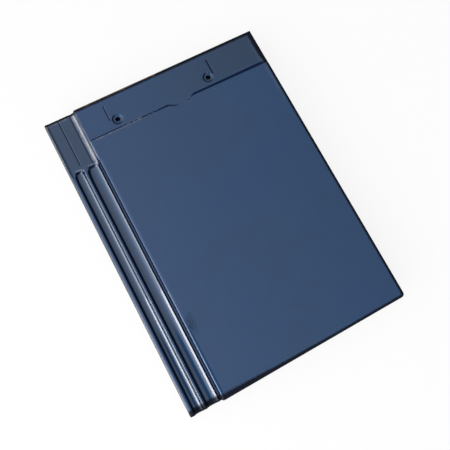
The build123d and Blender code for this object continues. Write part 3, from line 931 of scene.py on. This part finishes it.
# Painted highlight across the slope above the channels, at millimetres from its foot
SLOPE_HIGHLIGHT = (
    (-0.4, 0.0), (0.8, 1.0), (3.6, 1.0), (4.4, 0.25), (5.6, 0.25), (6.2, 0.8), (6.8, 0.8), (7.6, 0.0)
)
# Step each way over which a slope of the face is taken
SLOPE_STEP = 0.1 * MM


def end_oval(w, p, channel, x, y):
    """Place on a channel's end wall, as shares of the half sizes of the dark oval there."""
    # The dark oval is painted shade on the channel's end wall
    low, high = channel
    across = (x - low - w.oval_place * (high - low)) / (w.oval_half * (high - low))
    return across, (y - p.channel_end + w.oval_drop) / w.oval_rise


def steep_dark_and_shade(s, w, p, x, y):
    """Share of dark glaze on the weather face.

    It is a smooth step of the slope, taken over a tenth of a millimetre each way, and starts later on
    slopes that face the lock strip's side, where the lights stand: glaze run thin on steep sides, and
    painted shade on the slopes turned away from the lights. Near a channel's end only an oval on the
    end wall is dark, painted shade of that wall. The marks have lines of their own, the left part of
    the step and the slants of the outlet have lines of painted shade, and the floors of the nail
    dishes stay clear.
    """
    h = SLOPE_STEP
    rise_x = (weather_face(s, p, x + h, y) - weather_face(s, p, x - h, y)) / (2 * h)
    rise_y = (weather_face(s, p, x, y + h) - weather_face(s, p, x, y - h)) / (2 * h)
    slope = np.hypot(rise_x, rise_y)
    late_x, late_y = w.lit_side_way
    late = np.clip((late_x * rise_x + late_y * rise_y) / np.maximum(slope, TINY), 0.0, 1.0)
    start = w.dark_start + w.lit_side_delay * late
    dark = fade(np.arctan(slope), start, start + w.dark_range)

    # Painted shade: near a channel's end only the oval on its end wall stays dark
    for channel in p.channel_spans:
        low, high = channel
        t = (x - low) / (high - low)
        near_end = fade(y - p.channel_end, *w.end_clear) * (t > w.end_clear_from) * (t < 1.0)
        oval = 1.0 - fade(np.hypot(*end_oval(w, p, channel, x, y)), *w.oval_edge)
        dark = np.maximum(dark * (1.0 - w.end_clear_cover * near_end), oval)
    for mark, cover in zip(p.marks, w.mark_cover):
        off = off_mark(s, p, mark, x, y)
        dark = np.maximum(cover * fade(-off, 0.0, w.mark_edge), dark * (off > w.mark_clear))

    # Painted shade: lines below the left part of the step and on the outlet's slants
    down = p.step - y
    line = band(down, w.step_shade_up, w.step_shade_down) * (x < p.nails[0])
    line = line * fade(x - p.joint_right, 0.0, w.step_shade_fade)
    slant = 1.0 - fade(np.abs(off_slant(s, p, x, down)), *w.slant_edge)
    past_slant = down - np.where(x < p.middle, *w.slant_ends)
    slant = slant * fade(down, *w.slant_start) * (1.0 - fade(past_slant, 0.0, w.slant_fade))
    dark = np.maximum.reduce([dark, w.step_shade * line, w.slant_shade * slant])
    for nail in p.nails:
        off_hole = np.hypot(x - nail, y - p.nail_y) - s.nail_radius
        dark = dark * fade(off_hole, *w.dish_clear)
    return dark


def edge_shade_and_bare(s, w, p, x, y):
    """Shares of the dark edge and of the clay that shows on it, from distances to the outline's sides."""
    # The dark edge is painted shade on the rounded edges; the clay that shows there is the tile's own
    along = (x - p.left) / s.width
    plate = on_plate(p, x)
    tail_width = np.interp(along, *np.array(TAIL_EDGE).T) * MM
    head_width = w.strip_head_edge + w.plate_head_edge * plate
    right_width = w.right_edge + w.recess_edge * fade(y - p.step, *w.recess_edge_fade)
    tail = 1.0 - fade(y - p.tail, 0.0, tail_width)
    head = 1.0 - fade(p.head - y, 0.0, head_width)
    right = 1.0 - fade(p.right - x, 0.0, right_width)
    left = w.left_cover * (1.0 - fade(x - p.left, 0.0, w.left_edge))
    head_bare = head * plate * (1.0 - fade(along, *w.head_bare))
    tail_bare = w.tail_bare_cover * tail * fade(along, *w.tail_bare)
    return np.maximum.reduce([tail, head, right, left]), np.maximum(head_bare, tail_bare)


def painted_highlights(s, w, p, x, y, above):
    """Strength of pale, worn glaze: the highest of several soft bands, lines and spots.

    They are painted highlights: on the slope above the channels, the crescents over the channel ends,
    the lip of the rim, lines below the strip's head, below the step and beside the right edge, and a
    spot at the outlet.
    """
    along = (x - p.left) / s.width
    slope_at, slope_share = np.array(SLOPE_HIGHLIGHT).T
    highlighted = [above * np.interp(x - p.slope_foot, slope_at * MM, slope_share)]
    # Painted highlight: pale crescents over the channel ends
    for channel in p.channel_spans:
        across, up = end_oval(w, p, channel, x, y)
        crescent = band(np.hypot(across, up), w.crescent_in, w.crescent_out)
        highlighted.append(w.crescent_cover * crescent * fade(across + up, *w.crescent_side))

    beside, over = w.lip_cover
    highlighted.append((beside + (over - beside) * above) * (1.0 - fade(x - p.left, *w.lip_edge)))
    head_line = band(p.head - y, w.head_line_up, w.head_line_down)
    highlighted.append(w.head_line_cover * head_line * (1.0 - on_plate(p, x)))
    step_line = band(p.step - y, w.step_line_up, w.step_line_down)
    highlighted.append(w.step_line_cover * step_line * band(along, w.step_line_from, w.step_line_to))
    edge_line = band(p.right - x, w.edge_line_out, w.edge_line_in) * (y < p.head - w.edge_line_to)
    highlighted.append(w.edge_line_cover * edge_line * fade(y - p.step, *w.edge_line_from))
    off_x = x - (p.middle + s.outlet_floor_width / 2 + w.spot_off[0])
    off_y = y - (p.step - s.outlet_length + w.spot_off[1])
    highlighted.append(w.spot_cover * (1.0 - fade(np.hypot(off_x, off_y), 0.0, w.spot_radius)))
    return np.maximum.reduce(highlighted)


def finish_values(s, w, p, points, depth):
    """Shares that the finish reads at each point, made of smooth steps of plan distances.

    They are the dark edge, painted shade on the rounded edges, clay showing, the way down to the
    underside, dark glaze, partly painted shade, the zones that other tiles lap, pale glaze painted as
    highlights, a patch of dark specks, and the stretch where the step's line of painted shade is broken.
    """
    x, y = points[:, 0], points[:, 1]
    edge, bare = edge_shade_and_bare(s, w, p, x, y)
    # Dark glaze: glaze run thin on steep sides, and painted shade on slopes turned away from the lights
    steep = steep_dark_and_shade(s, w, p, x, y) * (depth < 0.5)
    below = depth
    # Painted shade: the nail holes take the dark edge
    for nail in p.nails:
        in_hole = np.hypot(x - nail, y - p.nail_y) < s.nail_radius + w.hole_margin
        edge = np.maximum(edge, in_hole)
        below = np.where(in_hole, 0.0, below)

    above = fade(y - p.channel_end, *w.above_fade)
    strip = (1.0 - fade(x - p.side_foot, 0.0, s.side_run)) * (w.strip_lapped + (1.0 - w.strip_lapped) * above)
    recess = fade(y - p.step, *w.recess_lapped) * fade((x - p.left) / s.width, *w.recess_right)
    highlighted = painted_highlights(s, w, p, x, y, above) * (below < 0.5)

    highest, lowest = w.broken_rows
    broken = (p.step - y > highest) * (p.step - y < lowest) * fade(x - p.nails[0], *w.broken_from)
    broken = broken * fade(p.middle - s.outlet_width / 2 - x, *w.broken_to)
    from_left, from_head = w.specks_place
    half_x, half_y = w.specks_half
    off_specks = np.hypot((x - p.left - from_left) / half_x, (y - p.head + from_head) / half_y)
    return {
        "edge": edge,
        "bare": bare,
        "below": below,
        "steep": steep,
        "lapped": np.maximum(strip, recess),
        "highlighted": highlighted,
        "specks": w.specks_cover * (1.0 - fade(off_specks, *w.specks_edge)),
        "broken": broken,
    }


# Turn between two faces above which the edge between them is sharp
SHARP_CREASE = math.radians(42.0)


def mesh_piece(name, points, faces, values):
    """A mesh object from arrays of points, quads and named shares, smooth but for its sharp creases."""
    mesh = bpy.data.meshes.new(name)
    mesh.vertices.add(len(points))
    mesh.vertices.foreach_set("co", points.astype(np.float32).ravel())
    mesh.loops.add(faces.size)
    mesh.loops.foreach_set("vertex_index", faces.astype(np.int32).ravel())
    mesh.polygons.add(len(faces))
    mesh.polygons.foreach_set("loop_start", np.arange(0, faces.size, 4, dtype=np.int32))
    mesh.update(calc_edges=True)
    if mesh.validate():
        raise RuntimeError(name + " has faces that do not close up")
    for key, value in values.items():
        attribute = mesh.attributes.new(key, "FLOAT", "POINT")
        attribute.data.foreach_set("value", value.astype(np.float32))
    mesh.shade_smooth()
    mesh.set_sharp_from_angle(angle=SHARP_CREASE)
    piece = bpy.data.objects.new(name, mesh)
    bpy.context.scene.collection.objects.link(piece)
    return piece


class NodeSheet:
    """Short calls that lay out the nodes of one material or world."""

    def __init__(self, owner):
        owner.use_nodes = True
        self.tree = owner.node_tree
        self.tree.nodes.clear()

    def add(self, kind, inputs=(), **settings):
        """A node with its settings and inputs, each input a value or the socket that feeds it."""
        node = self.tree.nodes.new(kind)
        for key, value in settings.items():
            setattr(node, key, value)
        for key, value in dict(inputs).items():
            if isinstance(value, bpy.types.NodeSocket):
                self.tree.links.new(value, node.inputs[key])
            else:
                node.inputs[key].default_value = value
        return node

    def math(self, operation, a, b=0.0, c=0.0, clamp=False):
        """One step of arithmetic on up to three values."""
        inputs = {0: a, 1: b, 2: c}
        return self.add("ShaderNodeMath", inputs, operation=operation, use_clamp=clamp).outputs[0]

    def ramp(self, value, low, high, to_low=0.0, to_high=1.0):
        """A value carried smoothly from one range to another."""
        node = self.add(
            "ShaderNodeMapRange",
            {"Value": value, "From Min": low, "From Max": high, "To Min": to_low, "To Max": to_high},
            interpolation_type="SMOOTHSTEP",
        )
        return node.outputs["Result"]

    def mix(self, share_of_b, a, b):
        """Two colours mixed by a share."""
        node = self.add("ShaderNodeMix", data_type="RGBA")
        sockets = (node.inputs[0], node.inputs[6], node.inputs[7])
        for socket, value in zip(sockets, (share_of_b, a, b)):
            if isinstance(value, bpy.types.NodeSocket):
                self.tree.links.new(value, socket)
            else:
                socket.default_value = value
        return node.outputs[2]

    def noise(self, place, scale, detail=3.0, roughness=0.5, stretch=None):
        """Cloudy noise on the piece's own coordinates."""
        if stretch is not None:
            place = self.add("ShaderNodeMapping", {"Vector": place, "Scale": stretch}).outputs[0]
        node = self.add(
            "ShaderNodeTexNoise",
            {"Vector": place, "Scale": scale, "Detail": detail, "Roughness": roughness},
        )
        return node.outputs["Fac"]

    def ragged(self, value, noise, amount):
        """A value with a noise added about its middle, to break up a border."""
        return self.math("MULTIPLY_ADD", self.math("SUBTRACT", noise, 0.5), amount, value)

    def value(self, name):
        """One of the piece's own named shares."""
        return self.add("ShaderNodeAttribute", attribute_name=name).outputs["Fac"]


def rgba(rgb):
    """A colour with full cover."""
    return (*rgb, 1.0)


# Noises of the finish, with their scales in features to the metre
NOISES = {
    "drift": {"scale": 9.0, "detail": 2.0},
    "cloud": {"scale": 55.0, "detail": 4.0, "roughness": 0.6},
    "grain": {"scale": 900.0, "detail": 3.0, "roughness": 0.6},
    "edge": {"scale": 260.0, "detail": 4.0, "roughness": 0.65},
    "chip": {"scale": 120.0, "detail": 3.0, "roughness": 0.6, "stretch": (1.0, 1.0, 3.0)},
    "mottle": {"scale": 170.0, "detail": 4.0, "roughness": 0.65},
    "gap": {"scale": 260.0, "detail": 1.0},
    "dot": {"scale": 600.0, "detail": 1.0},
    "streak": {"scale": 620.0, "detail": 4.0, "roughness": 0.7, "stretch": (1.0, 0.10, 1.0)},
    "peel": {"scale": 420.0, "detail": 2.0},
}


def glaze_colour(sheet, finish, noise, gaps, steep):
    """Blue glaze: drifting and clouded, dull where lapped, dark where steep, and pale where worn."""
    # Dark where steep is partly painted shade, and the pale is painted highlights
    lapped = sheet.value("lapped")
    thin = sheet.ramp(noise["drift"], *finish.drift_range)
    clouded = sheet.ramp(noise["cloud"], *finish.cloud_range, 0.0, finish.cloud_cover)
    mottled = sheet.ramp(noise["mottle"], *finish.mottle_range, 0.0, finish.mottle_cover)
    # Painted highlights: pale glaze in streaks
    streaks = sheet.ramp(noise["streak"], *finish.streak_range)
    pale = sheet.math("MULTIPLY", sheet.value("highlighted"), streaks, clamp=True)
    glaze = rgba(finish.glaze)
    for cover, over in (
        (thin, finish.glaze_thin),
        (clouded, finish.glaze_cloud),
        (sheet.math("MULTIPLY", lapped, finish.lapped_cover), finish.glaze_lapped),
        (sheet.math("MULTIPLY", lapped, mottled), finish.glaze_dull),
        (gaps, finish.glaze_break),
        (sheet.math("MULTIPLY", steep, finish.steep_cover), finish.glaze_steep_shade),
        (sheet.math("MULTIPLY", pale, finish.highlight_cover), finish.glaze_highlight),
    ):
        glaze = sheet.mix(cover, glaze, rgba(over))
    return glaze


def clay_colour(sheet, finish, noise):
    """Fired clay: smoked in patches, with pale grains."""
    smoked = sheet.ramp(noise["cloud"], *finish.smoke_range)
    grains = sheet.ramp(noise["grain"], *finish.grain_range, 0.0, finish.grain_cover)
    clay = sheet.mix(smoked, rgba(finish.clay), rgba(finish.clay_dark))
    return sheet.mix(grains, clay, rgba(finish.clay_grain))


def glazed_clay(finish):
    """Blue gloss glaze over fired clay: the glaze is a coat that ends on the edges and below."""
    material = bpy.data.materials.new("glazed_clay")
    sheet = NodeSheet(material)
    place = sheet.add("ShaderNodeTexCoord").outputs["Object"]
    noise = {name: sheet.noise(place, **look) for name, look in NOISES.items()}

    # Breaks in the painted shade line below the step, and dark specks, change the dark glaze
    gaps = sheet.math("MULTIPLY", sheet.value("broken"), sheet.ramp(noise["gap"], *finish.gap_range))
    dots = sheet.ramp(noise["dot"], *finish.dot_range)
    dots = sheet.math("MULTIPLY", sheet.value("specks"), dots, clamp=True)
    steep = sheet.math("SUBTRACT", sheet.value("steep"), gaps, clamp=True)
    steep = sheet.math("MAXIMUM", steep, dots)

    # Painted shade on the rounded edges and in the nail holes, dark and matt
    dark = sheet.ragged(sheet.value("edge"), noise["edge"], finish.edge_ragged)
    dark = sheet.ramp(dark, *finish.edge_range)
    chipped = sheet.ragged(sheet.value("bare"), noise["chip"], finish.chip_ragged)
    chipped = sheet.ramp(chipped, *finish.chip_range, 0.0, finish.chip_cover)
    under = sheet.ragged(sheet.value("below"), noise["chip"], finish.under_ragged)
    under = sheet.ramp(under, *finish.under_range)
    clay = clay_colour(sheet, finish, noise)
    surface = glaze_colour(sheet, finish, noise, gaps, steep)
    for cover, over in ((dark, rgba(finish.glaze_edge_shade)), (chipped, clay), (under, clay)):
        surface = sheet.mix(cover, surface, over)

    bared = sheet.math("MAXIMUM", under, chipped)
    bared = sheet.math("MAXIMUM", bared, sheet.math("MULTIPLY", dark, finish.matt_cover))
    matt = sheet.math("MAXIMUM", bared, sheet.math("MULTIPLY", steep, finish.matt_cover))
    facing = sheet.add("ShaderNodeLayerWeight", {"Blend": 0.5}).outputs["Facing"]
    damped = sheet.ramp(facing, *finish.facing_range, 1.0, finish.grazing_gloss)
    gloss = sheet.math("MULTIPLY", sheet.math("SUBTRACT", 1.0, matt), damped)
    rough = sheet.ramp(noise["grain"], *finish.rough_noise, *finish.rough_range)
    rough = sheet.math("MULTIPLY_ADD", bared, finish.bare_rough, rough, clamp=True)

    grain = sheet.math("MULTIPLY", noise["grain"], bared)
    height = sheet.math("MULTIPLY_ADD", grain, finish.bare_grain, noise["peel"])
    bump = sheet.add(
        "ShaderNodeBump", {"Strength": 1.0, "Distance": finish.peel_depth, "Height": height}
    ).outputs[0]
    shader = sheet.add(
        "ShaderNodeBsdfPrincipled",
        {
            "Base Color": surface, "Roughness": rough, "Normal": bump,
            "Specular IOR Level": finish.specular, "Coat Weight": gloss,
            "Coat Roughness": finish.glaze_gloss, "Coat IOR": finish.coat_ior, "Coat Normal": bump,
        },
    )
    sheet.add("ShaderNodeOutputMaterial", {"Surface": shader.outputs[0]})
    return material


class ROOFTILE_OT_tile(bpy.types.Operator):
    """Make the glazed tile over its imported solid"""

    bl_idname = "rooftile.tile"
    bl_label = "Glazed tile"

    def execute(self, context):
        scene = context.scene
        sizes = scene.roof_tile_sizes
        p = places(sizes)
        points, faces, depth = tile_surface(sizes, p)
        values = finish_values(sizes, scene.roof_tile_wear, p, points, depth)
        piece = mesh_piece("glazed_tile", points, faces, values)
        piece.data.materials.append(glazed_clay(scene.roof_tile_finish))
        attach(piece, "root")
        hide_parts("roof_tile")
        return {"FINISHED"}


class ROOFTILE_OT_stage(bpy.types.Operator):
    """Lay the pale floor, the soft light and the camera"""

    bl_idname = "rooftile.stage"
    bl_label = "Studio stage"

    def execute(self, context):
        scene = context.scene
        stage = scene.roof_tile_stage
        self.lay_floor(scene, stage)
        self.hang_lights(scene, stage)
        self.set_camera(scene, stage)
        scene.view_settings.view_transform = "Standard"
        return {"FINISHED"}

    def lay_floor(self, scene, stage):
        """A square floor at the feet of the tile, nearly plain white to the camera."""
        half = stage.floor_size / 2
        mesh = bpy.data.meshes.new("floor")
        corners = [(-half, -half, 0.0), (half, -half, 0.0), (half, half, 0.0), (-half, half, 0.0)]
        mesh.from_pydata(corners, [], [(0, 1, 2, 3)])
        floor = bpy.data.objects.new("floor", mesh)
        scene.collection.objects.link(floor)
        material = bpy.data.materials.new("pale_floor")
        sheet = NodeSheet(material)
        place = sheet.add("ShaderNodeTexCoord").outputs["Object"]
        base = stage.floor_colour
        darker = rgba([stage.floor_tone * channel for channel in base])
        tone = sheet.mix(sheet.noise(place, stage.floor_scale, detail=2.0), rgba(base), darker)
        shader = sheet.add("ShaderNodeBsdfPrincipled", {"Base Color": tone, "Roughness": stage.floor_rough})
        shader.inputs["Specular IOR Level"].default_value = 0.0
        white = sheet.add("ShaderNodeEmission", {"Color": (1.0, 1.0, 1.0, 1.0), "Strength": 1.0})
        path = sheet.add("ShaderNodeLightPath").outputs
        seen = sheet.math("ADD", path["Is Camera Ray"], path["Is Glossy Ray"])
        seen = sheet.math("ADD", seen, path["Is Transmission Ray"], clamp=True)
        apart = sheet.add("ShaderNodeSeparateXYZ", {0: place}).outputs
        off_x = sheet.math("SUBTRACT", sheet.math("ABSOLUTE", apart["X"]), tile_high.x)
        off_y = sheet.math("SUBTRACT", sheet.math("ABSOLUTE", apart["Y"]), tile_high.y)
        off = sheet.math("MAXIMUM", off_x, off_y)
        clear = sheet.ramp(off, -stage.floor_margin, 0.0, 0.0, stage.floor_white)
        both = sheet.add("ShaderNodeMixShader", {0: sheet.math("MULTIPLY", seen, clear)})
        sheet.tree.links.new(shader.outputs[0], both.inputs[1])
        sheet.tree.links.new(white.outputs[0], both.inputs[2])
        sheet.add("ShaderNodeOutputMaterial", {"Surface": both.outputs[0]})
        mesh.materials.append(material)

    def hang_lights(self, scene, stage):
        """A soft dome and two soft lights at the lock strip's side.

        The dome leans towards that side and darkens at the head and the tail. A flag shades it near
        the tail, and glows at the strip's side and beyond the tail and a low haze brighten it.
        """
        world = bpy.data.worlds.new("soft_dome")
        scene.world = world
        sheet = NodeSheet(world)
        way = sheet.add("ShaderNodeTexCoord").outputs["Generated"]
        apart = sheet.add("ShaderNodeSeparateXYZ", {0: way}).outputs
        across = sheet.math("MULTIPLY_ADD", apart["X"], -stage.dome_lean, 1.0)
        across = sheet.math("MINIMUM", sheet.math("MAXIMUM", across, stage.dome_rim), stage.dome_cap)
        along = sheet.ramp(sheet.math("ABSOLUTE", apart["Y"]), *stage.dome_ends, 1.0, stage.dome_rim)
        dome = sheet.math("MULTIPLY", sheet.math("MULTIPLY", across, along), stage.dome_top)
        flag = sheet.ramp(apart["X"], *stage.flag_near)
        flag = sheet.math("MULTIPLY", flag, sheet.ramp(apart["X"], *stage.flag_far))
        flag = sheet.math("MULTIPLY", flag, sheet.ramp(apart["Y"], *stage.flag_tail))
        dome = sheet.math("MULTIPLY", dome, sheet.math("MULTIPLY_ADD", flag, -stage.flag, 1.0))
        beside = sheet.add(
            "ShaderNodeVectorMath", {0: way, 1: Vector(stage.glow_axis).normalized()},
            operation="DOT_PRODUCT",
        ).outputs["Value"]
        dome = sheet.math("ADD", dome, sheet.ramp(beside, *stage.glow_range, 0.0, stage.glow))
        tailward = sheet.ramp(apart["Y"], *stage.tail_range, 0.0, stage.tail_glow)
        dome = sheet.math("MULTIPLY_ADD", tailward, sheet.ramp(apart["Z"], *stage.tail_rise), dome)
        haze = sheet.ramp(apart["Z"], 0.0, stage.haze_top, stage.haze, 0.0)
        light = sheet.add(
            "ShaderNodeBackground",
            {"Color": (1.0, 1.0, 1.0, 1.0), "Strength": sheet.math("MAXIMUM", dome, haze)},
        )
        sheet.add("ShaderNodeOutputWorld", {"Surface": light.outputs[0]})

        for name, side, lift, power in (
            ("tail_side", -1, stage.tail_lift, stage.tail_power),
            ("head_side", 1, stage.head_lift, stage.head_power),
        ):
            lamp = bpy.data.lights.new(name, "AREA")
            lamp.shape = "RECTANGLE"
            lamp.size, lamp.size_y = stage.side_width, stage.side_height
            lamp.energy = power
            holder = bpy.data.objects.new(name, lamp)
            middle = side * stage.side_width / 2
            holder.location = (-stage.side_away, middle, stage.side_height / 2 + lift)
            holder.rotation_euler = (math.pi / 2, 0.0, -math.pi / 2)
            holder.visible_camera = False
            scene.collection.objects.link(holder)

    def set_camera(self, scene, stage):
        """A camera that looks down on the face from the lock strip's side."""
        data = bpy.data.cameras.new("camera")
        data.sensor_fit = "HORIZONTAL"
        data.sensor_width = stage.camera_frame
        data.lens = stage.camera_lens
        data.shift_x, data.shift_y = stage.camera_shift
        camera = bpy.data.objects.new("camera", data)
        place = Vector(stage.camera_place)
        look = (Vector(stage.camera_aim) - place).normalized()
        right = look.cross(Vector((0.0, 1.0, 0.0))).normalized()
        up = right.cross(look)
        turn = Matrix((right, up, -look)).transposed().to_4x4()
        roll = Matrix.Rotation(stage.camera_roll, 4, "Z")
        camera.matrix_world = Matrix.Translation(place) @ turn @ roll
        scene.collection.objects.link(camera)
        scene.camera = camera


class ROOFTILE_PT_panel(bpy.types.Panel):
    """Lists the tile, the stage and their sizes and colours"""

    bl_idname = "ROOFTILE_PT_panel"
    bl_label = "Roof tile"
    bl_space_type = "VIEW_3D"
    bl_region_type = "UI"
    bl_category = "Roof tile"

    def draw(self, context):
        for operator in OPERATORS:
            self.layout.operator(operator.bl_idname)
        for name in GROUPS:
            group = getattr(context.scene, name)
            box = self.layout.box()
            for key in group.__annotations__:
                box.prop(group, key)


GROUPS = {
    "roof_tile_sizes": TileSizes,
    "roof_tile_wear": TileWearAndLight,
    "roof_tile_finish": TileFinish,
    "roof_tile_stage": TileStage,
}
OPERATORS = (ROOFTILE_OT_tile, ROOFTILE_OT_stage)
CLASSES = (*GROUPS.values(), *OPERATORS, ROOFTILE_PT_panel)


def register():
    for cls in CLASSES:
        bpy.utils.register_class(cls)
    for name, group in GROUPS.items():
        setattr(bpy.types.Scene, name, PointerProperty(type=group))


def unregister():
    for name in GROUPS:
        delattr(bpy.types.Scene, name)
    for cls in reversed(CLASSES):
        bpy.utils.unregister_class(cls)


def main():
    """Registers the classes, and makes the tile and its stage."""
    register()
    bpy.ops.rooftile.tile()
    bpy.ops.rooftile.stage()


if __name__ == "__main__":
    main()
